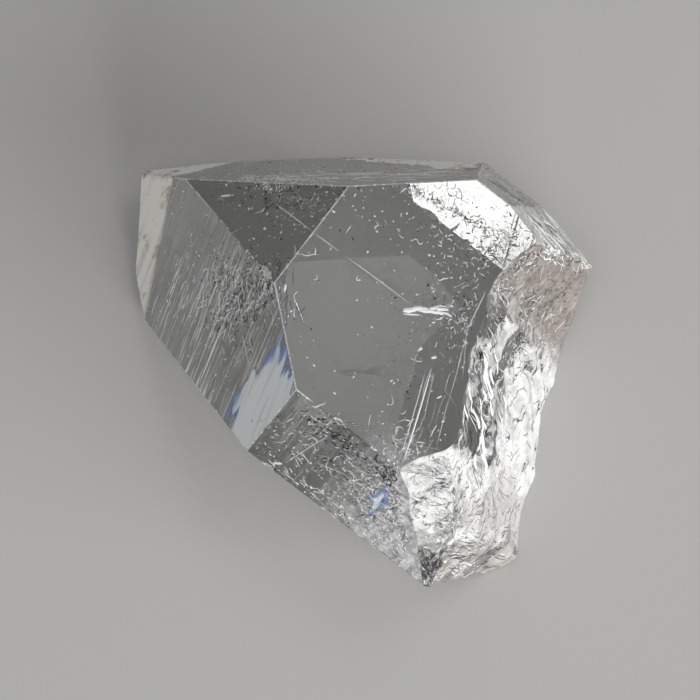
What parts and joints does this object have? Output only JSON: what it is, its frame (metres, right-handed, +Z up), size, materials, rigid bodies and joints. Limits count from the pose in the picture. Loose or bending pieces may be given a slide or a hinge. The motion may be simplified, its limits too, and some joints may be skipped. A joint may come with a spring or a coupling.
{
  "type": "quartz point",
  "caption": "Clear natural quartz point: a stubby six-sided prism with an uneven faceted tip and a rough broken base, lying on one prism face.",
  "frame": {"origin": "middle of the bounding box's underside, on the surface the crystal lies on", "axes": "+Z up, away from the prism face it rests on; +X along the crystal's long axis towards the broken base, so the tip looks along -X; +Y towards the steep side of the break"},
  "size_m": [0.0558, 0.0406, 0.024],
  "materials": {
    "clear_quartz": "natural crystal faces, glassy, with a rough conchoidal break"
  },
  "bodies": {
    "root": {"quartz_point": "clear_quartz"}
  },
  "joints": []
}
